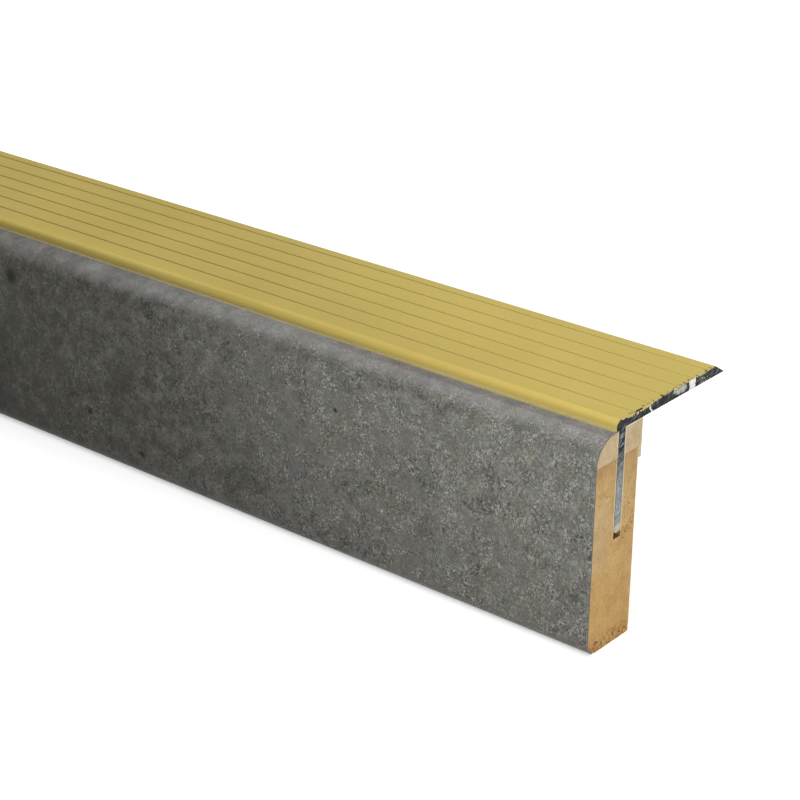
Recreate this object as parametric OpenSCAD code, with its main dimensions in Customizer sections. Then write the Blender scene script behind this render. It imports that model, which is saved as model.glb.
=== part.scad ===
// Stair nosing: a wood-fibre front board with a capped, rounded top edge, wrapped in a decor film,
// and a grooved aluminium tread profile whose stem sits in a slot in the top of the board.
// X runs along the nosing, Y from the decor front to the back, Z up. The origin is on the floor,
// at mid-length and half-way between the decor front and the back edge of the tread profile.

/* [Nosing] */
// Length that the nosing is sold in
nosing_length = 1300; // [300:10:3000]
// Height of the wooden part, from the floor to the underside of the tread profile
core_height = 56; // [48:0.5:90]

/* [Base board] */
// Thickness of the base board
board_thickness = 16.8; // [15.5:0.1:30]
// Radius of the board's lower front edge
toe_radius = 4; // [1:0.1:6]
// Radius of the board's lower back edge
heel_radius = 0.7; // [0.2:0.1:3]

/* [Cap] */
// Height of the cap strips on top of the base board
cap_height = 7; // [5:0.1:12]
// Distance that the back cap strip stands out behind the base board
cap_overhang = 1.2; // [0.6:0.1:4]
// Depth that the hook of the back cap strip reaches down behind the board
hook_drop = 3; // [1:0.1:8]
// Depth of the rebate in the board that takes the hook
hook_inset = 0.3; // [0.1:0.1:1]

/* [Decor film] */
// Thickness of the decor film
film_thickness = 0.4; // [0.2:0.05:1]
// Radius of the rounded nose, on the outside of the film
nose_radius = 7; // [4:0.1:8]
// Angle that the film is wrapped round the lower front edge
film_wrap_angle = 60; // [20:1:65]

/* [Tread profile] */
// Width of the flange, from its front edge to its back edge
flange_width = 45.8; // [25:0.1:80]
// Thickness of the flange
flange_thickness = 2.6; // [2.2:0.1:5]
// Distance of the flange's front edge behind the end of the nose's round
lip_setback = 0.6; // [0.2:0.1:1.5]
// Radius of the flange's upper front edge
flange_front_radius = 1.9; // [0.5:0.1:2]
// Width of the slope at the flange's back edge
flange_slope_width = 4.1; // [1:0.1:8]
// Distance that the flange's lip stands out in front of the stem
lip_width = 1.2; // [0.6:0.1:1.6]
// Thickness of the stem
stem_thickness = 2.4; // [2:0.1:3]
// Length of the stem below the flange
stem_length = 26.6; // [12:0.1:30]
// Radius of the edges at the stem's tip
stem_tip_radius = 0.9; // [0.2:0.1:0.9]

/* [Tread grooves] */
// Distance of the first groove behind the flange's front edge
groove_start = 7.1; // [4:0.1:12]
// Distance from one groove to the next
groove_pitch = 6.31; // [2:0.01:12]
// Width of a groove at the tread surface
groove_width = 0.7; // [0.3:0.05:1.5]
// Depth of a groove
groove_depth = 0.45; // [0.2:0.05:1.2]
// Least distance from the last groove to the slope of the back edge
groove_end_margin = 2; // [1:0.1:6]

/* [Slot] */
// Clearance between the stem and each wall of the slot
slot_clearance = 0.2; // [0.1:0.05:0.5]
// Gap between the stem's tip and the bottom of the slot
slot_end_gap = 1.4; // [0.5:0.1:4]

/* [Hidden] */
$fn = 96;

// Amount that a cutting shape reaches past the face it cuts
overcut = 1;

// Depths, measured back from the decor front
flange_setback = nose_radius + lip_setback;
board_back = film_thickness + board_thickness;
cap_back = board_back + cap_overhang;
hook_front = board_back - hook_inset;
stem_front = flange_setback + lip_width;
stem_back = stem_front + stem_thickness;
slot_front = stem_front - slot_clearance;
slot_back = stem_back + slot_clearance;
flange_back = flange_setback + flange_width;
tread_back = flange_back - flange_slope_width;
overall_depth = max(flange_back, cap_back);

// Heights above the floor
seam_height = core_height - cap_height;
hook_bottom = seam_height - hook_drop;
stem_bottom = core_height - stem_length;
slot_bottom = stem_bottom - slot_end_gap;
tread_height = core_height + flange_thickness;

// Outside of the film round the lower front edge
film_toe_radius = toe_radius + film_thickness;
film_toe_centre = [film_toe_radius, toe_radius];
film_end_angle = min(film_wrap_angle, asin(toe_radius / film_toe_radius));
film_cut_reach = 3 * film_toe_radius;

groove_room = tread_back - groove_end_margin - flange_setback - groove_start;
groove_count = max(0, floor(groove_room / groove_pitch) + 1);

// A section drawn in depth and height becomes a bar along X, centred on the origin
module bar() {
    translate([0, -overall_depth / 2, 0])
        rotate([90, 0, 90])
            linear_extrude(height = nosing_length, center = true)
                children();
}

// What is cut from a square corner at the origin to round it with the given radius
module corner_cut(radius) {
    difference() {
        translate([-overcut, -overcut])
            square(radius + overcut);
        translate([radius, radius])
            circle(radius);
    }
}

// Rounds the upper front corner: inset 0 is the outside of the film, film_thickness the wood
module nose_cut(inset) {
    translate([inset, core_height - inset])
        mirror([0, 1])
            corner_cut(nose_radius - inset);
}

// Rounds the lower front corner in the same way
module toe_cut(inset) {
    translate([inset, inset - film_thickness])
        corner_cut(film_toe_radius - inset);
}

module heel_cut() {
    translate([board_back, 0])
        mirror([1, 0])
            corner_cut(heel_radius);
}

// Wood in front of the slot, which the film is wrapped round
module wrapped_section() {
    difference() {
        translate([film_thickness, 0])
            square([slot_front - film_thickness, core_height - film_thickness]);
        nose_cut(film_thickness);
        toe_cut(film_thickness);
    }
}

module slot_section() {
    translate([slot_front, slot_bottom])
        square([slot_back - slot_front, core_height - slot_bottom + overcut]);
}

// The back part of the cap with its hook, in one L-shaped outline
module back_strip_section() {
    polygon([
        [slot_back, seam_height],
        [slot_back, core_height],
        [cap_back, core_height],
        [cap_back, hook_bottom],
        [hook_front, hook_bottom],
        [hook_front, seam_height],
    ]);
}

module board_section() {
    difference() {
        translate([film_thickness, 0])
            square([board_thickness, seam_height]);
        nose_cut(film_thickness);
        toe_cut(film_thickness);
        heel_cut();
        slot_section();
        translate([hook_front, hook_bottom])
            square([hook_inset + overcut, hook_drop + overcut]);
    }
}

module nose_strip_section() {
    intersection() {
        wrapped_section();
        translate([0, seam_height])
            square([slot_front, cap_height]);
    }
}

// The film is trimmed along a line from the centre of the lower front edge's round
module film_trim() {
    polygon([
        film_toe_centre,
        film_toe_centre - film_cut_reach * [cos(film_end_angle), sin(film_end_angle)],
        film_toe_centre + film_cut_reach * [1, -1],
        film_toe_centre + [film_cut_reach, 0],
    ]);
}

module film_section() {
    difference() {
        translate([0, -film_thickness])
            square([slot_front, core_height + film_thickness]);
        nose_cut(0);
        toe_cut(0);
        wrapped_section();
        film_trim();
    }
}

// Flange and stem in one outline, then the rounded edges and the grooves cut from it
module profile_section() {
    difference() {
        polygon([
            [flange_setback, core_height],
            [flange_setback, tread_height],
            [tread_back, tread_height],
            [flange_back, core_height],
            [stem_back, core_height],
            [stem_back, stem_bottom],
            [stem_front, stem_bottom],
            [stem_front, core_height],
        ]);
        translate([flange_setback, tread_height])
            mirror([0, 1])
                corner_cut(flange_front_radius);
        translate([stem_front, stem_bottom])
            corner_cut(stem_tip_radius);
        translate([stem_back, stem_bottom])
            mirror([1, 0])
                corner_cut(stem_tip_radius);
        for (i = [0 : 1 : groove_count - 1])
            translate([flange_setback + groove_start + i * groove_pitch, tread_height])
                groove_cut();
    }
}

// A V with its point at the groove's depth, widened past the surface so that it cuts cleanly
module groove_cut() {
    rise = overcut / groove_depth;
    half_width = groove_width / 2 * (1 + rise);
    polygon([[0, -groove_depth], [half_width, overcut], [-half_width, overcut]]);
}

module base_board() {
    color([0.73, 0.60, 0.40])
        bar()
            board_section();
}

module nose_strip() {
    color([0.77, 0.68, 0.53])
        bar()
            nose_strip_section();
}

module back_strip() {
    color([0.77, 0.68, 0.53])
        bar()
            back_strip_section();
}

module decor_film() {
    color([0.42, 0.41, 0.39])
        bar()
            film_section();
}

module tread_profile() {
    color([0.78, 0.69, 0.40])
        bar()
            profile_section();
}

base_board();
nose_strip();
back_strip();
decor_film();
tread_profile();
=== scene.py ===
import math

import bpy
import numpy as np
from mathutils import Euler, Matrix, Vector, noise
from mathutils.geometry import delaunay_2d_cdt
from mathutils.kdtree import KDTree


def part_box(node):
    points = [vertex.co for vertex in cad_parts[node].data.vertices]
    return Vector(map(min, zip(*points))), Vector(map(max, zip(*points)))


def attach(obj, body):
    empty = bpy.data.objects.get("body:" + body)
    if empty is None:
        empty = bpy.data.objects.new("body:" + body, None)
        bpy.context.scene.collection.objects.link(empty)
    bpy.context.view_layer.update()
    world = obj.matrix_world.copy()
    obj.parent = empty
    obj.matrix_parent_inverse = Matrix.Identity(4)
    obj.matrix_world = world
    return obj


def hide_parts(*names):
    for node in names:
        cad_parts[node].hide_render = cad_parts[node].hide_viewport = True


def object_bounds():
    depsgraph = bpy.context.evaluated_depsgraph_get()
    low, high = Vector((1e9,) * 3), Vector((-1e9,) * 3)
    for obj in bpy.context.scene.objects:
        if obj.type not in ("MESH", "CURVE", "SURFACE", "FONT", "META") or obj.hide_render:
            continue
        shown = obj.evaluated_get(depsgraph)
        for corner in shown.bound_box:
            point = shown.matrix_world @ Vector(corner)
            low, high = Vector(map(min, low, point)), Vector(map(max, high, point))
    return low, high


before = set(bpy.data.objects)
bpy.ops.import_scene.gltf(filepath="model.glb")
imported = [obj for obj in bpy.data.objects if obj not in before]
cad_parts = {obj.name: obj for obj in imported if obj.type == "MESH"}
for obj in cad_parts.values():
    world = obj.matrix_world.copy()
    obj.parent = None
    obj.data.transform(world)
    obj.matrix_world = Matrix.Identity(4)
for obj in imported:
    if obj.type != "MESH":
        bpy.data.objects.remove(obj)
cad_low, cad_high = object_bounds()

MM = 0.001

# Sizes of the section, from the frame
film_low, film_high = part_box("decor_film")
board_low, board_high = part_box("base_board")
nose_low, nose_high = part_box("nose_strip")
back_low, back_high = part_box("back_strip")
profile_low, profile_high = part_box("tread_profile")
half_length = cad_high.x
front = film_low.y
film_thickness = nose_low.y - front
core_height = film_high.z
seam_height = board_high.z
hook_bottom = back_low.z
slot_front = film_high.y
slot_back = back_low.y
flange_front = profile_low.y
flange_back = profile_high.y
tread_height = profile_high.z
stem_bottom = profile_low.z

# Sizes of the section that boxes don't show
nose_radius = 7.0 * MM
toe_radius = 4.0 * MM
heel_radius = 0.7 * MM
hook_inset = 0.3 * MM
film_wrap_angle = 60.0
slot_clearance = 0.2 * MM
slot_end_gap = 1.4 * MM
stem_tip_radius = 0.9 * MM
flange_front_radius = 1.9 * MM
flange_slope_width = 4.1 * MM
groove_start = 7.1 * MM
groove_pitch = 6.31 * MM
groove_count = 6
groove_width = 0.7 * MM
groove_depth = 0.45 * MM

# Places in the section that follow from them
stem_front = slot_front + slot_clearance
stem_back = slot_back - slot_clearance
hook_front = board_high.y - hook_inset
slot_bottom = stem_bottom - slot_end_gap
tread_back = flange_back - flange_slope_width

# Small rounds on edges that are only broken
wood_edge = 0.12 * MM
metal_edge = 0.15 * MM
tip_edge = 0.03 * MM
lip_edge = 0.05 * MM
groove_edge = 0.1 * MM

# Fineness of the meshes: jitter and clearance are shares of a cell, and same_point is a share of a step
arc_step = math.radians(6.0)
end_cell = 0.3 * MM
rim_step = 2.0 * end_cell
same_point = 0.0001
jitter_seed = 7
jitter = 0.3
rim_clearance = 0.6
side_step = 50.0 * MM
end_steps = (1.5 * MM, 8.0 * MM)
sharp_angle = math.radians(32.0)


# Outlines, as points (depth, height) that run anticlockwise seen from +X

def arc(centre, radius, start, end):
    """Points on an arc from angle start to angle end, in radians."""
    steps = max(2, math.ceil(abs(end - start) / arc_step))
    angles = [start + (end - start) * i / steps for i in range(steps + 1)]
    return [(centre[0] + radius * math.cos(a), centre[1] + radius * math.sin(a)) for a in angles]


def rounded(corners):
    """Outline of a polygon whose corners are (depth, height, radius)."""
    points = []
    for i, (depth, height, radius) in enumerate(corners):
        if radius == 0.0:
            points.append((depth, height))
            continue
        corner = Vector((depth, height))
        to_last = (Vector(corners[i - 1][:2]) - corner).normalized()
        to_next = (Vector(corners[(i + 1) % len(corners)][:2]) - corner).normalized()
        half = to_last.angle(to_next) / 2.0
        centre = corner + (to_last + to_next).normalized() * (radius / math.sin(half))
        first = corner + to_last * (radius / math.tan(half)) - centre
        last = corner + to_next * (radius / math.tan(half)) - centre
        start = math.atan2(first.y, first.x)
        turn = math.remainder(math.atan2(last.y, last.x) - start, math.tau)
        points += arc(centre, radius, start, start + turn)
    return points


def board_outline():
    """The upright board, with the lower part of the slot and a step for the hook of the back strip."""
    return rounded([
        (board_low.y, board_low.z, toe_radius),
        (board_high.y, board_low.z, heel_radius),
        (board_high.y, hook_bottom, wood_edge),
        (hook_front, hook_bottom, 0.0),
        (hook_front, seam_height, wood_edge),
        (slot_back, seam_height, wood_edge),
        (slot_back, slot_bottom, wood_edge),
        (slot_front, slot_bottom, wood_edge),
        (slot_front, seam_height, wood_edge),
        (board_low.y, seam_height, wood_edge),
    ])


def nose_outline():
    """The strip in front of the slot, with the round nose."""
    return rounded([
        (nose_low.y, seam_height, 0.0),
        (slot_front, seam_height, wood_edge),
        (slot_front, nose_high.z, wood_edge),
        (nose_low.y, nose_high.z, nose_radius - film_thickness),
    ])


def back_outline():
    """The strip behind the slot, with its hook down behind the board."""
    return rounded([
        (slot_back, seam_height, wood_edge),
        (hook_front, seam_height, 0.0),
        (hook_front, hook_bottom, wood_edge),
        (back_high.y, hook_bottom, wood_edge),
        (back_high.y, core_height, wood_edge),
        (slot_back, core_height, wood_edge),
    ])


def film_outline():
    """The film, from the slot over the nose and down the front, to where it ends under the toe."""
    nose_centre = (front + nose_radius, core_height - nose_radius)
    toe_centre = (front + film_thickness + toe_radius, toe_radius)
    wrap = math.radians(180.0 + film_wrap_angle)
    outside = [(slot_front, core_height)]
    outside += arc(nose_centre, nose_radius, math.radians(90.0), math.pi)
    outside += arc(toe_centre, toe_radius + film_thickness, math.pi, wrap)
    inside = arc(toe_centre, toe_radius, wrap, math.pi)
    inside += arc(nose_centre, nose_radius - film_thickness, math.pi, math.radians(90.0))
    inside += [(slot_front, core_height - film_thickness)]
    return outside + inside


def profile_outline():
    """The T profile: stem, sloped back edge, tread with its grooves, and rounded front lip."""
    corners = [
        (stem_front, core_height, 0.0),
        (stem_front, stem_bottom, stem_tip_radius),
        (stem_back, stem_bottom, stem_tip_radius),
        (stem_back, core_height, 0.0),
        (flange_back, core_height, tip_edge),
        (tread_back, tread_height, metal_edge),
    ]
    for i in reversed(range(groove_count)):
        place = flange_front + groove_start + i * groove_pitch
        corners += [
            (place + groove_width / 2.0, tread_height, groove_edge),
            (place, tread_height - groove_depth, groove_edge / 2.0),
            (place - groove_width / 2.0, tread_height, groove_edge),
        ]
    corners += [
        (flange_front, tread_height, flange_front_radius),
        (flange_front, core_height, lip_edge),
    ]
    return rounded(corners)


# Relief of the sawn ends, with sizes of its features along the end and depths into it

fibre_size = 0.5 * MM
board_fibre_depth = 0.06 * MM
strip_fibre_depth = 0.05 * MM
tear_size = 0.7 * MM
tear_depth = 0.12 * MM
foot_tear_depth = 0.1 * MM
film_wave_size = 1.2 * MM
film_wave_depth = 0.08 * MM
saw_lean = 0.8
saw_mark_size = 0.55 * MM
saw_mark_depth = 0.03 * MM
ragged_height = 0.5 * MM
ragged_size = 1.3 * MM
ragged_depth = 0.1 * MM

# Where the noise tears the fibres, and how much sooner it does where the board crumbles
board_tear_limit = 0.86
board_tear_soft = 0.12
strip_tear_limits = (0.84, 0.95)
foot_crumbling = 0.3
back_crumbling = 0.15

# Where the board crumbles: heights at its foot, and depths behind the front and heights up its back
foot_heights = (1.0 * MM, 4.5 * MM)
back_depths = (11.0 * MM, 13.0 * MM)
back_rise = (24.0 * MM, 29.0 * MM)
back_fall = (38.0 * MM, 43.0 * MM)


def ease(value, low, high):
    """A smooth step from 0 at low to 1 at high."""
    share = min(1.0, max(0.0, (value - low) / (high - low)))
    return share * share * (3.0 - 2.0 * share)


def grain(depth, height, size, layer):
    """Smooth noise from 0 to 1 with features of the given size. Each layer is a noise of its own."""
    return 0.5 + 0.5 * noise.noise(Vector((depth / size, height / size, layer)))


def board_relief(depth, height):
    """Fine fibre ends, with crumbled spots along the lower edge and a few up the back."""
    at_foot = 1.0 - ease(height, *foot_heights)
    at_back = ease(depth - front, *back_depths) * ease(height, *back_rise)
    at_back *= 1.0 - ease(height, *back_fall)
    limit = board_tear_limit - max(foot_crumbling * at_foot, back_crumbling * at_back)
    tear = ease(grain(depth, height, tear_size, layer=3.7), limit, limit + board_tear_soft)
    fibre = grain(depth, height, fibre_size, layer=8.1) * board_fibre_depth
    return fibre + tear * (tear_depth + foot_tear_depth * at_foot), tear


def strip_relief(depth, height):
    """Fine fibre ends, with a few torn spots."""
    tear = ease(grain(depth, height, tear_size, layer=5.3), *strip_tear_limits)
    fibre = grain(depth, height, fibre_size, layer=1.9) * strip_fibre_depth
    return fibre + tear * tear_depth, tear


def film_relief(depth, height):
    """A slightly wavy cut."""
    return grain(depth, height, film_wave_size, layer=2.2) * film_wave_depth, 0.0


def metal_relief(depth, height):
    """Slanting saw marks, and a ragged upper edge where the coating broke off."""
    across = (depth * saw_lean + height) / saw_mark_size
    marks = (0.5 + 0.5 * math.sin(across)) * saw_mark_depth
    ragged = ease(height, tread_height - ragged_height, tread_height)
    return marks + ragged * grain(depth, height, ragged_size, layer=6.4) * ragged_depth, 0.0


def flush(depth, height):
    """Sides without hollows."""
    return 0.0


def groove_hollow(depth, height):
    """How deep a point of the profile's outline lies in a groove, from 0 to 1."""
    on_tread = flange_front + 2.0 * flange_front_radius < depth < tread_back
    if on_tread and height > core_height + groove_depth:
        return (tread_height - height) / groove_depth
    return 0.0


# Bars: an outline swept along X, with sawn ends meshed finely enough to hold their relief

# Share of the relief that the rim of an end follows
rim_share = 0.35

# Settings of the triangulation: only what lies inside the outline, and how close points are one point
fill_inside = 1
merge_distance = 1e-9

# Name of the point attribute that tells the materials where wood is torn and where grooves are
hollow_name = "hollow"


def split_long(outline):
    """The outline without doubled points, and with points added along sides longer than rim_step."""
    points = []
    for i, start in enumerate(outline):
        end = outline[(i + 1) % len(outline)]
        parts = math.ceil(math.dist(start, end) / rim_step - same_point)
        for k in range(parts):
            share = k / parts
            depth = start[0] + (end[0] - start[0]) * share
            height = start[1] + (end[1] - start[1]) * share
            points.append((depth, height))
    return points


def points_inside(outline):
    """A jittered grid of points inside the outline, clear of its edge."""
    edge = np.array(outline)
    following = np.roll(edge, -1, axis=0)
    low, high = edge.min(axis=0), edge.max(axis=0)
    columns = np.arange(low[0], high[0], end_cell)
    rows = np.arange(low[1], high[1], end_cell)
    points = np.stack(np.meshgrid(columns, rows), -1).reshape(-1, 2)
    shift = np.random.default_rng(jitter_seed).uniform(-jitter, jitter, points.shape)
    points = points + shift * end_cell
    y, z = points[:, :1], points[:, 1:]
    crosses = (edge[:, 1] > z) != (following[:, 1] > z)
    rise = np.where(following[:, 1] == edge[:, 1], 1.0, following[:, 1] - edge[:, 1])
    meets = edge[:, 0] + (z - edge[:, 1]) / rise * (following[:, 0] - edge[:, 0])
    inside = (crosses & (y < meets)).sum(axis=1) % 2 == 1
    rim = KDTree(len(outline))
    for i, (depth, height) in enumerate(outline):
        rim.insert((depth, height, 0.0), i)
    rim.balance()
    kept = [tuple(p) for p in points[inside]]
    return [p for p in kept if rim.find((p[0], p[1], 0.0))[2] > end_cell * rim_clearance]


def end_mesh(outline):
    """Points and triangles that fill the outline. The outline's own points come first."""
    ring = [(i, (i + 1) % len(outline)) for i in range(len(outline))]
    points = [Vector(p) for p in list(outline) + points_inside(outline)]
    _, _, faces, sources, _, _ = delaunay_2d_cdt(points, ring, [], fill_inside, merge_distance)
    source = [min(s) for s in sources]
    return points, [[source[v] for v in face] for face in faces]


def stations():
    """Places along X, from the photographed end to the far one."""
    steps = round(2.0 * half_length / side_step)
    middle = [half_length - 2.0 * half_length * i / steps for i in range(1, steps)]
    near = [half_length - s for s in end_steps]
    return [half_length] + near + middle + [-x for x in reversed(near)] + [-half_length]


def bar(name, outline, relief, side_material, end_material, side_hollow=flush):
    """A piece of the nosing.

    relief(depth, height) gives how far a point of a sawn end lies in, and how hollow it is (0 to 1).
    side_hollow(depth, height) gives how hollow a point of the sides is.
    """
    outline = split_long(outline)
    points, triangles = end_mesh(outline)
    count = len(outline)
    places = stations()
    vertices = []
    hollows = []
    for x in places:
        at_end = abs(x) == half_length
        for depth, height in outline:
            sunk, hollow = relief(depth, height) if at_end else (0.0, side_hollow(depth, height))
            vertices.append((x - math.copysign(sunk * rim_share, x), depth, height))
            hollows.append(hollow)
    faces = []
    for ring in range(len(places) - 1):
        for i in range(count):
            a, b = ring * count + i, ring * count + (i + 1) % count
            faces.append((a, a + count, b + count, b))
    sides = len(faces)
    for x, ring in ((half_length, 0), (-half_length, len(places) - 1)):
        start = len(vertices) - count
        for point in points[count:]:
            sunk, hollow = relief(point.x, point.y)
            vertices.append((x - math.copysign(sunk, x), point.x, point.y))
            hollows.append(hollow)
        for triangle in triangles:
            face = [ring * count + v if v < count else start + v for v in triangle]
            faces.append(face if x > 0.0 else face[::-1])
    mesh = bpy.data.meshes.new(name)
    mesh.from_pydata(vertices, [], faces)
    mesh.materials.append(side_material)
    mesh.materials.append(end_material)
    mesh.polygons.foreach_set("material_index", [0] * sides + [1] * (len(faces) - sides))
    mesh.polygons.foreach_set("use_smooth", [True] * len(faces))
    mesh.attributes.new(hollow_name, "FLOAT", "POINT").data.foreach_set("value", hollows)
    mesh.update()
    mesh.set_sharp_from_angle(angle=sharp_angle)
    piece = bpy.data.objects.new(name, mesh)
    bpy.context.scene.collection.objects.link(piece)
    return piece


def stand_for(piece, node):
    """Let the piece stand for a node of the frame, which is hidden."""
    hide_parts(node)
    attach(piece, "root")


# Material helpers

# Sockets of a Mix node that hold colours
mix_first, mix_second, mix_result = 6, 7, 2


def srgb(red, green, blue):
    """A colour written as the screen shows it, from 0 to 255, as linear values."""
    def linear(level):
        share = level / 255.0
        return share / 12.92 if share <= 0.04045 else ((share + 0.055) / 1.055) ** 2.4
    return (linear(red), linear(green), linear(blue), 1.0)


def per_mm(size):
    """Texture scale whose features are about size millimetres across."""
    return 1.0 / (size * MM)


class Nodes:
    """Nodes of a material or a world, made step by step. A value is a socket, a number or a colour."""

    def __init__(self, tree):
        self.tree = tree

    def plug(self, socket, value):
        """Link the value to the socket, or set it there."""
        if isinstance(value, bpy.types.NodeSocket):
            self.tree.links.new(value, socket)
        else:
            socket.default_value = value

    def add(self, kind, settings=None, **inputs):
        """A new node with its settings, and its inputs set or linked by name."""
        node = self.tree.nodes.new(kind)
        for key, value in (settings or {}).items():
            setattr(node, key, value)
        for key, value in inputs.items():
            self.plug(node.inputs[key], value)
        return node

    def position(self):
        return self.add("ShaderNodeTexCoord").outputs["Object"]

    def axes(self, vector):
        return self.add("ShaderNodeSeparateXYZ", Vector=vector).outputs

    def hollow(self):
        return self.add("ShaderNodeAttribute", {"attribute_name": hollow_name}).outputs["Fac"]

    def stretched(self, vector, factors):
        return self.add("ShaderNodeMapping", Vector=vector, Scale=factors).outputs["Vector"]

    def cloud(self, vector, size, detail=2.0, roughness=0.5, distortion=0.0):
        """Noise from 0 to 1 with features of about size millimetres."""
        node = self.add("ShaderNodeTexNoise", Vector=vector, Scale=per_mm(size), Detail=detail)
        node.inputs["Roughness"].default_value = roughness
        node.inputs["Distortion"].default_value = distortion
        return node.outputs["Fac"]

    def ripple(self, vector, size, **shape):
        """Such noise, moved to lie about 0."""
        return self.calc("SUBTRACT", self.cloud(vector, size, **shape), 0.5)

    def calc(self, operation, *values):
        node = self.add("ShaderNodeMath", {"operation": operation})
        for socket, value in zip(node.inputs, values):
            self.plug(socket, value)
        return node.outputs["Value"]

    def product(self, first, *others):
        for value in others:
            first = self.calc("MULTIPLY", first, value)
        return first

    def weighted(self, *pairs):
        """Sum of (weight, value) pairs."""
        total = self.calc("MULTIPLY", pairs[0][1], pairs[0][0])
        for weight, value in pairs[1:]:
            total = self.calc("MULTIPLY_ADD", value, weight, total)
        return total

    def span(self, value, low, high, to=(0.0, 1.0)):
        """The value moved smoothly from low..high to the range in to. Low may be the greater one."""
        node = self.add("ShaderNodeMapRange", {"interpolation_type": "SMOOTHSTEP"}, Value=value)
        for key, end in (("From Min", low), ("From Max", high), ("To Min", to[0]), ("To Max", to[1])):
            self.plug(node.inputs[key], end)
        return node.outputs["Result"]

    def between(self, value, low, high, soft):
        """1 where the value lies between low and high, with soft edges."""
        rise = self.span(value, low - soft, low + soft)
        fall = self.span(value, high + soft, high - soft)
        return self.product(rise, fall)

    def paint(self, colour, mask, paint, strength=1.0, blend="MIX"):
        """The colour with a paint over it where the mask is 1."""
        node = self.add("ShaderNodeMix", {"data_type": "RGBA", "blend_type": blend})
        cover = mask if strength == 1.0 else self.product(mask, strength)
        self.plug(node.inputs["Factor"], cover)
        self.plug(node.inputs[mix_first], colour)
        self.plug(node.inputs[mix_second], paint)
        return node.outputs[mix_result]

    def ramp(self, factor, stops):
        """Colours along a factor: stops are (place, colour), from the lowest place to the highest."""
        low, high = stops[0][0], stops[-1][0]
        share = self.add("ShaderNodeMapRange", Value=factor)
        share.inputs["From Min"].default_value = low
        share.inputs["From Max"].default_value = high
        node = self.add("ShaderNodeValToRGB", Fac=share.outputs["Result"])
        elements = node.color_ramp.elements
        elements[0].color = stops[0][1]
        elements[1].color = stops[-1][1]
        for place, colour in stops[1:-1]:
            elements.new((place - low) / (high - low)).color = colour
        return node.outputs["Color"]

    def bump(self, bsdf, height, distance, strength):
        node = self.add("ShaderNodeBump", Height=height, Distance=distance, Strength=strength)
        self.plug(bsdf.inputs["Normal"], node.outputs["Normal"])


def new_material(name):
    material = bpy.data.materials.new(name)
    material.use_nodes = True
    tree = material.node_tree
    return material, Nodes(tree), tree.nodes["Principled BSDF"]


# Concrete print on the film

concrete_tones = [
    (-0.25, srgb(40, 39, 33)),
    (0.1, srgb(69, 68, 62)),
    (0.5, srgb(120, 119, 114)),
    (0.9, srgb(183, 183, 177)),
]
# Colours of the nose top: partly the softened print, partly painted sheen
nose_sheen_tones = [(-0.3, srgb(94, 93, 91)), (0.0, srgb(130, 129, 128)), (0.3, srgb(166, 165, 164))]
band_shade = srgb(234, 234, 234)
strip_shade = srgb(222, 218, 218)
gold_reflection = srgb(188, 176, 138)
crack_black = srgb(28, 27, 24)
smudge_grey = srgb(50, 49, 44)
pit_black = srgb(16, 16, 14)
warm_tint = srgb(255, 253, 244)
cool_tint = srgb(251, 252, 255)
rosy_tint = srgb(255, 251, 250)
green_tint = srgb(250, 254, 250)
film_core_tones = [(0.3, srgb(88, 82, 78)), (0.7, srgb(126, 118, 110))]

# Length of one slow cloud along the nosing, and a power that narrows its light part. The clouds are partly
# the print's own tone and partly painted light, lightest at the +X end
cloud_length = 0.62
cloud_power = 1.45

# Heights where the painted sheen on the nose starts and where it is full, each on dark clouds and on light
# ones
sheen_start = (core_height - 5.0 * MM, core_height - 2.9 * MM)
sheen_full = (core_height - 0.8 * MM, core_height - 0.9 * MM)
sheen_waviness = 2.4 * MM

# Heights of the foot, which is a little darker towards the floor, the painted shaded band under the nose,
# the top where the painted sheen is strongest, and the strip under the lip with painted shadow
dim_foot = (5.0 * MM, 50.0 * MM)
shaded_band = (core_height - 4.6 * MM, core_height - 2.6 * MM)
shaded_soft = 0.8 * MM
sheen_top = (core_height - 0.1 * MM, core_height - 0.9 * MM)
sheltered_strip = (core_height - 0.6 * MM, core_height - 0.25 * MM)

# Depths where a painted reflection of the lip's gold lightens the film
gold_reflection_depths = (flange_front - 1.0 * MM, flange_front - 0.05 * MM)

# Pits that stand out, as (distance from the end, height, radius), and the ragged edge of each
shown_pits = [
    (168.0 * MM, 14.0 * MM, 1.35 * MM),
    (148.0 * MM, 7.0 * MM, 1.45 * MM),
    (198.0 * MM, 46.5 * MM, 2.9 * MM),
    (78.0 * MM, 41.0 * MM, 0.75 * MM),
]
pit_raggedness = 1.8 * MM
pit_core = 0.35

# Height of the printed grain
print_relief = 0.03 * MM


def clouds_and_falloff(nodes, large, along):
    """Slow clouds along the length, from 0 where dark to 1 where light: partly the print's tone, partly
    painted light brightest at the +X end.
    """
    from_end = nodes.calc("SUBTRACT", half_length, along)
    wander = nodes.calc("SUBTRACT", large, 0.5)
    phase = nodes.calc("MULTIPLY_ADD", from_end, math.tau / cloud_length, wander)
    wave = nodes.calc("MULTIPLY_ADD", nodes.calc("COSINE", phase), 0.5, 0.5)
    return nodes.calc("POWER", wave, cloud_power)


def nose_sheen_mask(nodes, place, height, slow):
    """1 on the top of the nose, where a sheen is painted, above a wavy edge."""
    wavy = nodes.ripple(place, 3.0, detail=3.0, roughness=0.6)
    level = nodes.calc("MULTIPLY_ADD", wavy, sheen_waviness, height)
    start = nodes.span(slow, 0.2, 0.55, to=sheen_start)
    full = nodes.span(slow, 0.2, 0.55, to=sheen_full)
    return nodes.span(level, start, full)


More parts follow.
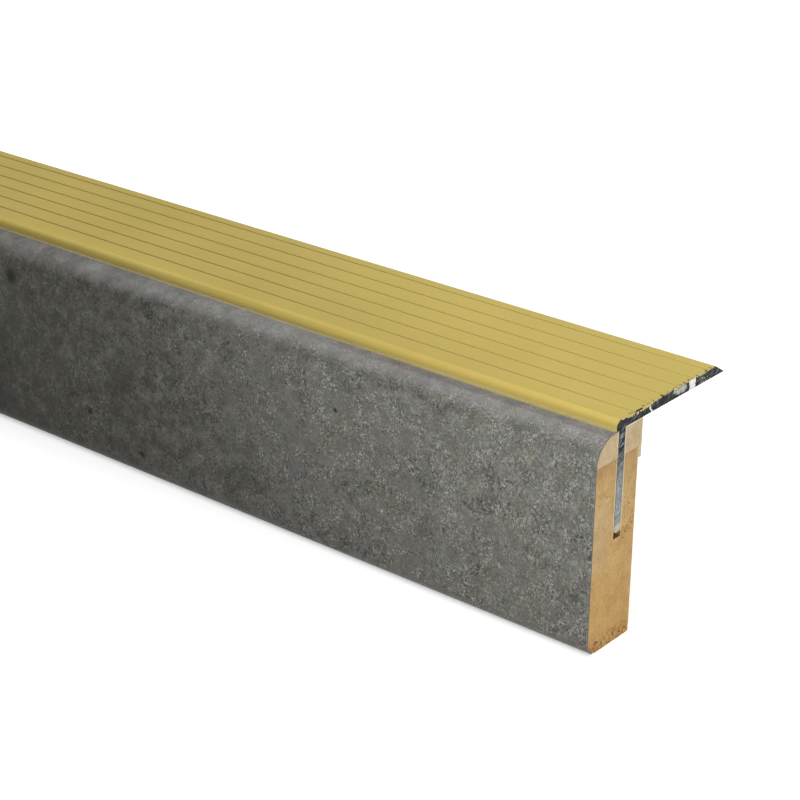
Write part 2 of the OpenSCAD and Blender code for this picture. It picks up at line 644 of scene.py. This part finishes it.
def fine_grit(nodes, place, slow, on_nose):
    """Speckles and short hairs, denser in places, and fainter on the nose and on dark clouds."""
    speckle = nodes.ripple(nodes.stretched(place, (1.0, 1.0, 0.7)), 0.34, detail=1.0, roughness=0.7)
    curl = nodes.calc("ABSOLUTE", nodes.ripple(place, 1.1, detail=1.0, distortion=1.2))
    strands = nodes.span(nodes.cloud(place, 0.8, detail=1.0), 0.54, 0.64)
    hair = nodes.product(nodes.span(curl, 0.1, 0.02), strands)
    return nodes.product(
        nodes.weighted((1.4, speckle), (0.3, hair)),
        nodes.span(nodes.cloud(place, 4.0, detail=3.0, roughness=0.6), 0.42, 0.6, to=(0.4, 1.0)),
        nodes.span(on_nose, 0.0, 1.0, to=(1.0, 0.5)),
        nodes.span(slow, 0.0, 1.0, to=(0.44, 0.95)),
    )


def dark_specks(nodes, place):
    """Dark specks that lie in clusters."""
    clusters = nodes.span(nodes.cloud(place, 9.0), 0.45, 0.62)
    specks = nodes.cloud(nodes.stretched(place, (0.7, 1.0, 1.2)), 0.9, roughness=0.6)
    return nodes.product(nodes.span(specks, 0.46, 0.32), clusters)


def hair_cracks(nodes, place, on_nose):
    """Thin cracks here and there, and none on the nose."""
    ridge = nodes.calc("ABSOLUTE", nodes.ripple(place, 4.0, detail=4.0, roughness=0.62, distortion=0.8))
    some = nodes.span(nodes.cloud(place, 12.0), 0.48, 0.6)
    off_nose = nodes.span(on_nose, 0.0, 0.6, to=(1.0, 0.0))
    return nodes.product(nodes.span(ridge, 0.034, 0.0), some, off_nose)


def pits(nodes, place):
    """Small pits all over, and those that stand out."""
    cells = nodes.add("ShaderNodeTexVoronoi", Vector=place, Scale=per_mm(32.0)).outputs
    draw = nodes.add("ShaderNodeSeparateColor", Color=cells["Color"]).outputs["Red"]
    pit = nodes.product(nodes.span(cells["Distance"], 0.03, 0.018), nodes.span(draw, 0.6, 0.65))
    ragged = nodes.ripple(place, 0.9)
    for from_end, height, radius in shown_pits:
        apart = nodes.add("ShaderNodeVectorMath", {"operation": "DISTANCE"})
        nodes.plug(apart.inputs[0], place)
        nodes.plug(apart.inputs[1], (half_length - from_end, front, height))
        reach = nodes.calc("MULTIPLY_ADD", ragged, pit_raggedness, apart.outputs["Value"])
        pit = nodes.calc("MAXIMUM", pit, nodes.span(reach, radius, radius * pit_core))
    return pit


def nose_sheen_and_shade(nodes, place, height, slow, on_nose, tone, colour):
    """Paler, smoother nose top, partly softened print and partly painted sheen, with painted shade below
    it and painted shadow under the lip.
    """
    sheen = nodes.product(
        on_nose,
        nodes.span(nodes.cloud(place, 5.0, detail=3.0, roughness=0.6), 0.35, 0.65, to=(0.55, 0.85)),
        nodes.span(height, *sheen_top, to=(0.8, 1.0)),
        nodes.span(slow, 0.15, 0.3, to=(0.75, 1.0)),
    )
    colour = nodes.paint(colour, sheen, nodes.ramp(tone, nose_sheen_tones))
    band = nodes.product(nodes.between(height, *shaded_band, shaded_soft), nodes.span(slow, 0.5, 0.8))
    colour = nodes.paint(colour, band, band_shade, blend="MULTIPLY")
    strip = nodes.product(nodes.span(height, *sheltered_strip), nodes.span(slow, 0.76, 0.92))
    return nodes.paint(colour, strip, strip_shade, strength=0.9, blend="MULTIPLY")


def tinted(nodes, place, colour):
    """Faint patches of warmer, cooler, redder and greener grey."""
    warm = nodes.cloud(place, 5.0, detail=3.0, roughness=0.6, distortion=0.4)
    rosy = nodes.cloud(place, 6.5, detail=3.0, roughness=0.6, distortion=0.4)
    for patch, more, less in ((warm, warm_tint, cool_tint), (rosy, rosy_tint, green_tint)):
        colour = nodes.paint(colour, nodes.span(patch, 0.5, 0.66), more, blend="MULTIPLY")
        colour = nodes.paint(colour, nodes.span(patch, 0.46, 0.3), less, blend="MULTIPLY")
    return colour


def concrete_film():
    """Printed concrete: slow clouds that are partly painted light, grain that comes and goes, hair cracks,
    smudges and a few pits, with painted sheen, shade and reflection near the nose.
    """
    material, nodes, bsdf = new_material("concrete_film")
    place = nodes.position()
    axes = nodes.axes(place)
    height = axes["Z"]
    large = nodes.cloud(place, 60.0)
    # The slow clouds are partly painted light, lightest at the +X end
    slow = clouds_and_falloff(nodes, large, axes["X"])
    even = nodes.ripple(place, 4.5, detail=5.0, roughness=0.72, distortion=0.3)
    mottle = nodes.product(even, nodes.span(slow, 0.45, 0.75, to=(1.4, 1.0)))
    on_nose = nose_sheen_mask(nodes, place, height, slow)
    grit = fine_grit(nodes, place, slow, on_nose)
    specks = dark_specks(nodes, place)
    foot = nodes.span(height, *dim_foot, to=(-0.07, 0.0))
    tone = nodes.weighted(
        (0.5, slow), (0.08, large), (0.6, mottle), (1.0, grit), (-0.14, specks), (1.0, foot)
    )
    colour = nodes.ramp(tone, concrete_tones)
    nose_tone = nodes.weighted((0.6, even), (1.2, grit))
    # The nose top gets painted sheen, the band under it painted shade and the strip under the lip painted
    # shadow
    colour = nose_sheen_and_shade(nodes, place, height, slow, on_nose, nose_tone, colour)
    # Painted reflection of the gold lip on the film beside it
    colour = nodes.paint(colour, nodes.span(axes["Y"], *gold_reflection_depths), gold_reflection, strength=0.65)
    crack = hair_cracks(nodes, place, on_nose)
    colour = nodes.paint(colour, crack, crack_black, strength=0.6)
    smudge = nodes.span(nodes.cloud(place, 20.0, detail=3.0), 0.6, 0.76)
    colour = nodes.paint(colour, smudge, smudge_grey, strength=0.4)
    pit = pits(nodes, place)
    colour = nodes.paint(colour, pit, pit_black, strength=0.85)
    nodes.plug(bsdf.inputs["Base Color"], tinted(nodes, place, colour))
    nodes.plug(bsdf.inputs["Roughness"], nodes.span(mottle, -0.2, 0.2, to=(0.34, 0.46)))
    bsdf.inputs["Specular IOR Level"].default_value = 0.08
    relief = nodes.weighted((1.0, grit), (-0.3, crack), (-0.6, pit))
    nodes.bump(bsdf, relief, print_relief, strength=0.6)
    return material


def film_edge():
    """The cut edge of the film: a grey-brown core."""
    material, nodes, bsdf = new_material("film_edge")
    shade = nodes.cloud(nodes.position(), 0.5)
    nodes.plug(bsdf.inputs["Base Color"], nodes.ramp(shade, film_core_tones))
    nodes.plug(bsdf.inputs["Roughness"], nodes.span(shade, 0.3, 0.7, to=(0.6, 0.8)))
    return material


# Gold anodising

gold_tones = [(0.3, srgb(158, 141, 77)), (0.5, srgb(162, 145, 80)), (0.7, srgb(166, 149, 83))]
groove_gold = srgb(122, 107, 52)
end_groove_gold = srgb(160, 143, 78)
groove_shade = srgb(62, 44, 6)
shoulder_highlight = srgb(178, 160, 90)
lip_light_tones = [(0.0, srgb(146, 130, 70)), (0.25, srgb(164, 147, 81)), (1.0, srgb(190, 170, 95))]
lip_rim_highlight = srgb(238, 226, 146)
chip_black = srgb(20, 21, 25)
gold_glint = srgb(248, 243, 215)

# Stretch and height of the lines that drawing left along the metal
drawn_lines = (0.006, 1.0, 1.0)
drawn_relief = 0.004 * MM

# Stretch of noise that varies with depth alone
by_depth = (0.0, 1.0, 0.0)

# Lengths from an end: until the painted shade in the grooves is full, over which the grooves turn lighter
# by the sawn end, and over which the lip's painted light fades
groove_shade_length = 280.0 * MM
end_fade_length = 25.0 * MM
lip_light_length = 200.0 * MM

# Heights where the painted light on the lip starts and where it is full, each far from the ends and near
# them
lip_start = (tread_height - 0.5 * MM, tread_height - 0.2 * MM)
lip_full = (tread_height - 1.15 * MM, tread_height - 0.8 * MM)
rim_heights = (core_height + 1.1 * MM, core_height + 0.05 * MM)

# Depths of the lip, of its rounding, and behind which the sawn edge is chipped
lip_depths = (stem_front, flange_front + 0.8 * MM)
round_depths = (flange_front + 3.5 * MM, flange_front + 2.0 * MM)
chip_depths = (flange_front + 3.0 * MM, flange_front + 5.0 * MM)
chip_length = 0.8 * MM


def shaded_grooves(nodes, along, colour):
    """Grooves with painted shade in them, darker away from the sawn ends, and a painted highlight on their
    shoulders near the ends.
    """
    hollow = nodes.hollow()
    groove_shade_share = nodes.span(along, half_length, half_length - groove_shade_length)
    end_fade = nodes.span(along, half_length - end_fade_length, half_length)
    bottom = nodes.paint(groove_gold, end_fade, end_groove_gold)
    bottom = nodes.paint(bottom, groove_shade_share, groove_shade)
    # Painted shade in the grooves
    colour = nodes.paint(colour, nodes.span(hollow, 0.08, 0.62), bottom)
    clear = nodes.span(groove_shade_share, 0.0, 0.5, to=(1.0, 0.0))
    # Painted highlight on the shoulders of the grooves
    shoulder = nodes.product(nodes.between(hollow, 0.08, 0.4, 0.06), clear)
    return nodes.paint(colour, shoulder, shoulder_highlight)


def painted_lip_light(nodes, axes, along, colour):
    """A front lip painted with light: brighter towards the ends and darker away from them, with a painted
    highlight along its lower edge.
    """
    lip_light_share = nodes.span(along, half_length - lip_light_length, half_length)
    start = nodes.span(lip_light_share, 0.1, 0.5, to=lip_start)
    full = nodes.span(lip_light_share, 0.1, 0.5, to=lip_full)
    lip = nodes.product(nodes.span(axes["Z"], start, full), nodes.span(axes["Y"], *lip_depths))
    colour = nodes.paint(colour, lip, nodes.ramp(lip_light_share, lip_light_tones))
    lower = nodes.span(axes["Z"], *rim_heights)
    rim = nodes.product(lip, lower, nodes.span(lip_light_share, 0.5, 1.0, to=(0.3, 1.0)))
    # Painted highlight along the lip's lower edge
    return nodes.paint(colour, rim, lip_rim_highlight)


def chipped_ends(nodes, place, axes, along, colour):
    """Small chips along the sawn edges, where bare metal shows."""
    uneven = nodes.cloud(nodes.stretched(place, by_depth), 1.2, detail=3.0, roughness=0.7)
    chip = nodes.span(uneven, 0.5, 0.62, to=(0.0, chip_length))
    chip = nodes.product(chip, nodes.span(axes["Y"], *chip_depths))
    chipped = nodes.calc("GREATER_THAN", nodes.calc("ADD", along, chip), half_length)
    return nodes.paint(colour, chipped, chip_black)


def gold_anodised():
    """Gold anodising: even, with faint lines along the length where the metal was drawn."""
    material, nodes, bsdf = new_material("gold_anodised")
    place = nodes.position()
    axes = nodes.axes(place)
    along = nodes.calc("ABSOLUTE", axes["X"])
    lines = nodes.cloud(nodes.stretched(place, drawn_lines), 0.35, detail=3.0, roughness=0.6)
    haze = nodes.cloud(place, 30.0, detail=3.0)
    colour = nodes.ramp(nodes.weighted((0.35, lines), (0.65, haze)), gold_tones)
    colour = shaded_grooves(nodes, along, colour)
    colour = painted_lip_light(nodes, axes, along, colour)
    colour = chipped_ends(nodes, place, axes, along, colour)
    nodes.plug(bsdf.inputs["Base Color"], colour)
    bsdf.inputs["Metallic"].default_value = 1.0
    bsdf.inputs["Specular Tint"].default_value = gold_glint
    drawn = nodes.span(lines, 0.3, 0.7, to=(0.4, 0.5))
    rounding = nodes.span(axes["Y"], *round_depths)
    nodes.plug(bsdf.inputs["Roughness"], nodes.weighted((1.0, drawn), (0.07, rounding)))
    nodes.bump(bsdf, lines, drawn_relief, strength=0.5)
    return material


# Sawn end of the metal

sawn_tones = [(0.3, srgb(2, 3, 5)), (0.5, srgb(9, 11, 15)), (0.7, srgb(68, 73, 74))]
scratch_grey = srgb(186, 190, 188)
stem_tones = [(0.3, srgb(96, 105, 108)), (0.7, srgb(172, 179, 177))]
tip_tan = srgb(186, 174, 152)
pale_reflection_tones = [(0.35, srgb(128, 135, 126)), (0.65, srgb(188, 188, 180))]
reflection_tones = [(0.35, srgb(196, 192, 192)), (0.6, srgb(238, 236, 232))]
flake_tan = srgb(176, 168, 136)
coat_tones = [(0.3, srgb(182, 162, 91)), (0.7, srgb(204, 183, 106))]
burr_highlight = srgb(228, 220, 190)
nick_black = srgb(3, 3, 3)

# Heights where the stem turns light, and of its tan tip
stem_heights = (52.0 * MM, 40.5 * MM)
tip_heights = (31.8 * MM, 31.0 * MM)

# Slopes of the scratches and of the patches, the patches' wavy sides, and the height of all marks
scratch_lean = -0.6
scratch_stretch = 0.15
patch_lean = 0.6
patch_wander = 1.2 * MM
patch_soft = 0.12 * MM
sawn_relief = 0.05 * MM

# Places on the flange, as depths behind the printed front and heights above the core
flange_heights = (0.0, 0.1 * MM)
scratch_heights = (0.0, -1.5 * MM)
pale_depth, pale_height = 35.0 * MM, 1.7 * MM
pale_half_depth, pale_half_height = 3.1 * MM, 1.25 * MM
bright_patch = (37.9 * MM, 40.6 * MM)
bright_line = (21.7 * MM, 22.3 * MM)
flake_depths = (42.5 * MM, 47.0 * MM)
flake_soft = 0.8 * MM
nick_depths = (15.2 * MM, 18.0 * MM)
nick_heights = (2.1 * MM, 2.6 * MM)
nick_depth_soft, nick_height_soft = 0.2 * MM, 0.08 * MM

# Coating smeared down from the tread: depths where it starts, thickens and ends, and its thickness
coat_start = (9.5 * MM, 10.3 * MM)
coat_growth = (10.0 * MM, 15.0 * MM)
coat_end = (29.0 * MM, 18.0 * MM)
coat_thickness = (0.4 * MM, 1.05 * MM)
coat_jags = 2.0 * MM
burr_heights = (-0.14 * MM, 0.0)
burr_soft = 0.04 * MM


def saw_scratches(nodes, depth, height):
    """Slanting scratches, from 0 to 1."""
    across = nodes.calc("MULTIPLY_ADD", depth, scratch_lean, height)
    down = nodes.product(depth, scratch_stretch)
    streak = nodes.add("ShaderNodeCombineXYZ", X=across, Y=down).outputs["Vector"]
    return nodes.span(nodes.cloud(streak, 0.35, detail=1.0), 0.55, 0.68)


def reflections_and_flakes(nodes, place, depth, above, colour):
    """Painted reflections on the sawn face: an oval pale patch, a bright patch and a slanting bright line.
    Also flakes of coating at the back.
    """
    on_flange = nodes.span(above, *flange_heights)
    wander = nodes.calc("MULTIPLY_ADD", nodes.ripple(place, 1.1), patch_wander, depth)
    leaning = nodes.calc("MULTIPLY_ADD", above, patch_lean, wander)
    beside = nodes.calc("DIVIDE", nodes.calc("SUBTRACT", leaning, pale_depth), pale_half_depth)
    aloft = nodes.calc("DIVIDE", nodes.calc("SUBTRACT", above, pale_height), pale_half_height)
    spread = nodes.calc("MULTIPLY_ADD", beside, beside, nodes.product(aloft, aloft))
    rough_edge = nodes.ripple(place, 0.8, detail=3.0, roughness=0.6)
    pale = nodes.span(nodes.calc("MULTIPLY_ADD", rough_edge, 2.2, spread), 1.1, 0.8)
    # Painted reflection in an oval pale patch
    colour = nodes.paint(colour, pale, nodes.ramp(nodes.cloud(place, 1.0), pale_reflection_tones))
    patch = nodes.between(wander, *bright_patch, patch_soft)
    line = nodes.between(leaning, *bright_line, patch_soft)
    bright = nodes.product(nodes.calc("MAXIMUM", patch, line), on_flange)
    streaks = nodes.cloud(nodes.stretched(place, (0.0, 1.0, 0.15)), 0.5)
    # Painted reflection in a bright patch and a slanting bright line
    colour = nodes.paint(colour, bright, nodes.ramp(streaks, reflection_tones))
    flakes = nodes.span(nodes.cloud(place, 0.6), 0.52, 0.6)
    flakes = nodes.product(flakes, nodes.between(depth, *flake_depths, flake_soft))
    return nodes.paint(colour, flakes, flake_tan, strength=0.85)


def smeared_coat(nodes, place, depth, height, blotch, colour):
    """Coating that the saw dragged down from the tread, with a burr along its jagged edge that gets a
    painted highlight.
    """
    uneven = nodes.cloud(nodes.stretched(place, by_depth), 1.6, detail=4.0, roughness=0.7)
    smear = nodes.product(
        nodes.span(uneven, 0.36, 0.64, to=coat_thickness),
        nodes.span(depth, *coat_start),
        nodes.span(depth, *coat_growth, to=(0.5, 1.0)),
        nodes.span(depth, *coat_end),
    )
    jagged = nodes.ripple(place, 0.9, detail=3.0, roughness=0.7)
    smear = nodes.calc("MULTIPLY_ADD", jagged, coat_jags, smear)
    over = nodes.calc("ADD", nodes.calc("SUBTRACT", height, tread_height), smear)
    burr = nodes.between(over, *burr_heights, burr_soft)
    burr = nodes.product(burr, nodes.span(uneven, 0.4, 0.5, to=(0.1, 0.9)))
    # Painted highlight along the burr
    colour = nodes.paint(colour, burr, burr_highlight)
    return nodes.paint(colour, nodes.calc("GREATER_THAN", over, 0.0), nodes.ramp(blotch, coat_tones))


def sawn_metal():
    """Sawn aluminium: dark, mottled, brighter down the stem, with painted reflections in patches and
    smeared coat.
    """
    material, nodes, bsdf = new_material("sawn_metal")
    place = nodes.position()
    axes = nodes.axes(place)
    depth = nodes.calc("SUBTRACT", axes["Y"], front)
    height = axes["Z"]
    above = nodes.calc("SUBTRACT", height, core_height)
    blotch = nodes.cloud(place, 1.5, detail=4.0, roughness=0.65)
    colour = nodes.ramp(blotch, sawn_tones)
    scratch = saw_scratches(nodes, depth, height)
    strong = nodes.span(above, *scratch_heights, to=(0.3, 0.95))
    colour = nodes.paint(colour, nodes.product(scratch, strong), scratch_grey)
    stem = nodes.ramp(nodes.cloud(place, 0.7, detail=3.0, roughness=0.6), stem_tones)
    colour = nodes.paint(colour, nodes.span(height, *stem_heights), stem, strength=0.88)
    colour = nodes.paint(colour, nodes.span(height, *tip_heights), tip_tan)
    colour = reflections_and_flakes(nodes, place, depth, above, colour)
    colour = smeared_coat(nodes, place, depth, height, blotch, colour)
    nick = nodes.between(depth, *nick_depths, nick_depth_soft)
    nick = nodes.product(nick, nodes.between(above, *nick_heights, nick_height_soft))
    nodes.plug(bsdf.inputs["Base Color"], nodes.paint(colour, nick, nick_black))
    bsdf.inputs["Metallic"].default_value = 0.6
    bsdf.inputs["Specular IOR Level"].default_value = 0.1
    nodes.plug(bsdf.inputs["Roughness"], nodes.span(blotch, 0.3, 0.7, to=(0.38, 0.6)))
    nodes.bump(bsdf, nodes.weighted((0.7, blotch), (0.5, scratch)), sawn_relief, strength=0.7)
    return material


# Pressed wood fibre

rim_highlight_pale = srgb(240, 231, 206)
pore_brown = srgb(122, 80, 34)
pressed_brown = srgb(150, 112, 64)
haze_pale = srgb(204, 182, 152)
ripe_wood = srgb(202, 152, 74)

# Rims beside the slot and under the flange, where a pale line is painted as highlight
slot_rim = (slot_front - 0.25 * MM, slot_back + 0.32 * MM)
slot_rim_soft = 0.08 * MM
slot_rim_foot = (stem_bottom - 0.5 * MM, stem_bottom + 0.5 * MM)
cap_rim = (core_height - 0.42 * MM, core_height - 0.25 * MM)

# Heights of the pressed board under the seam, its pale haze, its riper part and its crumbly foot
pressed_heights = (seam_height - 7.0 * MM, seam_height)
haze_heights = (21.0 * MM, 39.0 * MM)
haze_soft = 4.0 * MM
ripe_heights = (45.0 * MM, 8.0 * MM)
crumbly_heights = (7.0 * MM, 1.0 * MM)

# Depths over which the haze grows, the softness of the slot's walls that get painted shade, and the height
# of the fibres
haze_depths = (slot_front, front + 4.0 * MM)
wall_soft = 0.02 * MM
fibre_relief = 0.06 * MM


def rim_highlights(nodes, axes):
    """1 on the rims beside the slot and under the flange, where a highlight is painted."""
    beside = nodes.between(axes["Y"], *slot_rim, slot_rim_soft)
    beside = nodes.product(beside, nodes.span(axes["Z"], *slot_rim_foot))
    return nodes.calc("MAXIMUM", beside, nodes.span(axes["Z"], *cap_rim))


def aged_board(nodes, place, axes, colour):
    """Open pores, a darker pressed top, a pale haze in front and riper wood towards the floor."""
    height = axes["Z"]
    pores = nodes.cloud(nodes.stretched(place, (1.0, 1.0, 0.75)), 0.42, detail=1.0)
    colour = nodes.paint(colour, nodes.span(pores, 0.66, 0.72), pore_brown, strength=0.55)
    colour = nodes.paint(colour, nodes.span(height, *pressed_heights), pressed_brown, strength=0.35)
    haze = nodes.between(height, *haze_heights, haze_soft)
    haze = nodes.product(haze, nodes.span(axes["Y"], *haze_depths))
    colour = nodes.paint(colour, haze, haze_pale, strength=0.3)
    return nodes.paint(colour, nodes.span(height, *ripe_heights), ripe_wood, strength=0.3)


def crumbs(nodes, place, height):
    """Crumbled spots, which lie closer together near the floor."""
    near_floor = nodes.span(height, *crumbly_heights)
    limit = nodes.span(near_floor, 0.0, 1.0, to=(0.69, 0.53))
    excess = nodes.calc("SUBTRACT", nodes.cloud(place, 0.8, roughness=0.7), limit)
    return nodes.span(excess, 0.0, 0.06, to=(0.0, 0.85))


def fibre_board(name, dark, light, speck, torn, crumbly=False):
    """Pressed wood fibre: fine fibres, slow mottling and dark bundles. A crumbly board has aged."""
    material, nodes, bsdf = new_material(name)
    place = nodes.position()
    axes = nodes.axes(place)
    mottle = nodes.span(nodes.cloud(place, 5.0, detail=4.0, roughness=0.6), 0.3, 0.7)
    strands = nodes.cloud(nodes.stretched(place, (0.5, 1.0, 0.35)), 0.4, detail=3.0, roughness=0.75)
    fibre = nodes.span(strands, 0.3, 0.7)
    colour = nodes.ramp(nodes.weighted((0.5, mottle), (0.5, fibre)), [(0.15, dark), (0.85, light)])
    bundle = nodes.span(nodes.cloud(nodes.stretched(place, (0.6, 1.0, 0.6)), 0.6), 0.37, 0.3)
    colour = nodes.paint(colour, bundle, speck, strength=0.6)
    # Painted highlight along the rims beside the slot and under the flange
    colour = nodes.paint(colour, rim_highlights(nodes, axes), rim_highlight_pale, strength=0.75)
    hollow = nodes.hollow()
    if crumbly:
        colour = aged_board(nodes, place, axes, colour)
        hollow = nodes.calc("MAXIMUM", hollow, crumbs(nodes, place, axes["Z"]))
    else:
        # Painted shade inside the slot, in the colour of torn fibre
        slot_shade = nodes.between(axes["Y"], slot_front, slot_back, wall_soft)
        colour = nodes.paint(colour, slot_shade, torn, strength=0.8)
    deep = nodes.paint(torn, nodes.span(nodes.cloud(place, 1.3), 0.4, 0.6), speck)
    nodes.plug(bsdf.inputs["Base Color"], nodes.paint(colour, hollow, deep, strength=0.9))
    nodes.plug(bsdf.inputs["Roughness"], nodes.span(fibre, 0.0, 1.0, to=(0.78, 0.92)))
    bsdf.inputs["Specular IOR Level"].default_value = 0.25
    relief = nodes.weighted((0.7, fibre), (-0.5, bundle), (-0.6, hollow))
    nodes.bump(bsdf, relief, fibre_relief, strength=0.6)
    return material


# The nosing

board_face = fibre_board(
    "board_face",
    dark=srgb(176, 144, 96),
    light=srgb(198, 166, 118),
    speck=srgb(128, 92, 52),
    torn=srgb(84, 50, 18),
)
board_end = fibre_board(
    "board_end",
    dark=srgb(182, 148, 94),
    light=srgb(210, 178, 125),
    speck=srgb(152, 100, 46),
    torn=srgb(100, 54, 20),
    crumbly=True,
)
strip_face = fibre_board(
    "strip_face",
    dark=srgb(188, 166, 126),
    light=srgb(211, 191, 154),
    speck=srgb(150, 122, 82),
    torn=srgb(120, 88, 52),
)
strip_end = fibre_board(
    "strip_end",
    dark=srgb(187, 164, 125),
    light=srgb(212, 191, 154),
    speck=srgb(150, 120, 78),
    torn=srgb(120, 88, 52),
)
gold = gold_anodised()
metal_end = sawn_metal()

base_board = bar("board_wood", board_outline(), board_relief, board_face, board_end)
nose_strip = bar("nose_wood", nose_outline(), strip_relief, strip_face, strip_end)
back_strip = bar("back_wood", back_outline(), strip_relief, strip_face, strip_end)
decor_film = bar("concrete_skin", film_outline(), film_relief, concrete_film(), film_edge())
tread_profile = bar("gold_profile", profile_outline(), metal_relief, gold, metal_end, groove_hollow)

stand_for(base_board, "base_board")
stand_for(nose_strip, "nose_strip")
stand_for(back_strip, "back_strip")
stand_for(decor_film, "decor_film")
stand_for(tread_profile, "tread_profile")


# Floor, light and camera

white = (1.0, 1.0, 1.0, 1.0)
floor_white = (0.8, 0.8, 0.8, 1.0)
floor_half = 12.0
floor_glow = 0.45
far_glow = 1.0
glow_start, glow_end = 1.0, 4.0
fill_strength = 0.28
view_strength = 1.0

# The photograph's camera, placed from the lower front corner of the photographed end
camera_offset = Vector((239.1, -362.1, 259.5)) * MM
camera_pitch = math.radians(24.15)
camera_yaw = math.radians(39.29)
camera_roll = math.radians(0.585)
camera_lens = 96.04
camera_sensor = 36.0
camera_clip = (0.01, 100.0)

# Points near the ends that lights are aimed at, and where the key light stands
lit_inset = 0.1
lit_height = 0.03
near_end = (half_length - lit_inset, 0.0, lit_height)
far_end = (lit_inset - half_length, 0.0, lit_height)
key_x, key_y, key_z = half_length + 0.3, front - 0.25, 0.35
key_size = 0.3
key_power = 1.4


def seen_directly(nodes):
    """1 for rays from the camera, or from it by way of a mirror or glass."""
    path = nodes.add("ShaderNodeLightPath").outputs
    either = nodes.calc("MAXIMUM", path["Is Camera Ray"], path["Is Glossy Ray"])
    return nodes.calc("MAXIMUM", either, path["Is Transmission Ray"])


def make_floor():
    """A pale floor that turns white away from the nosing, as the camera and reflections see it."""
    mesh = bpy.data.meshes.new("floor")
    corners = [(-1.0, -1.0), (1.0, -1.0), (1.0, 1.0), (-1.0, 1.0)]
    mesh.from_pydata([(x * floor_half, y * floor_half, 0.0) for x, y in corners], [], [(0, 1, 2, 3)])
    floor = bpy.data.objects.new("floor", mesh)
    bpy.context.scene.collection.objects.link(floor)
    material, nodes, bsdf = new_material("pale_floor")
    bsdf.inputs["Base Color"].default_value = floor_white
    bsdf.inputs["Roughness"].default_value = 1.0
    bsdf.inputs["Specular IOR Level"].default_value = 0.0
    bsdf.inputs["Emission Color"].default_value = white
    away = nodes.add("ShaderNodeVectorMath", {"operation": "LENGTH"}, Vector=nodes.position())
    glow = nodes.span(away.outputs["Value"], glow_start, glow_end, to=(floor_glow, far_glow))
    nodes.plug(bsdf.inputs["Emission Strength"], nodes.product(seen_directly(nodes), glow))
    mesh.materials.append(material)


def make_world():
    """White to the camera and in reflections, and a weaker fill light on the nosing."""
    world = bpy.data.worlds.new("studio")
    world.use_nodes = True
    nodes = Nodes(world.node_tree)
    background = world.node_tree.nodes["Background"]
    background.inputs["Color"].default_value = white
    extra = view_strength - fill_strength
    strength = nodes.calc("MULTIPLY_ADD", seen_directly(nodes), extra, fill_strength)
    nodes.plug(background.inputs["Strength"], strength)
    bpy.context.scene.world = world


def softbox(name, place, target, size, power):
    """A round, soft light that faces its target."""
    light = bpy.data.lights.new(name, "AREA")
    light.shape = "DISK"
    light.size = size
    light.energy = power
    lamp = bpy.data.objects.new(name, light)
    lamp.location = place
    lamp.rotation_euler = (Vector(target) - Vector(place)).to_track_quat("-Z", "Y").to_euler()
    bpy.context.scene.collection.objects.link(lamp)


def make_camera():
    camera = bpy.data.cameras.new("camera")
    camera.sensor_width = camera_sensor
    camera.lens = camera_lens
    camera.clip_start, camera.clip_end = camera_clip
    viewer = bpy.data.objects.new("camera", camera)
    aim = Euler((math.pi / 2.0 - camera_pitch, 0.0, camera_yaw)).to_matrix()
    turn = aim @ Matrix.Rotation(camera_roll, 3, "Z")
    corner = Vector((half_length, front, 0.0))
    viewer.matrix_world = Matrix.LocRotScale(corner + camera_offset, turn, None)
    bpy.context.scene.collection.objects.link(viewer)
    bpy.context.scene.camera = viewer


make_floor()
make_world()
softbox("overhead", place=(0.2, 0.1, 2.2), target=(0.2, 0.0, 0.0), size=2.4, power=30.0)
softbox("key", place=(key_x, key_y, key_z), target=near_end, size=key_size, power=key_power)
softbox("far_key", place=(-key_x, key_y, key_z), target=far_end, size=key_size, power=key_power)
softbox("rear", place=(0.34, 1.45, 0.7), target=near_end, size=1.8, power=5.0)
make_camera()
bpy.context.scene.view_settings.view_transform = "Standard"
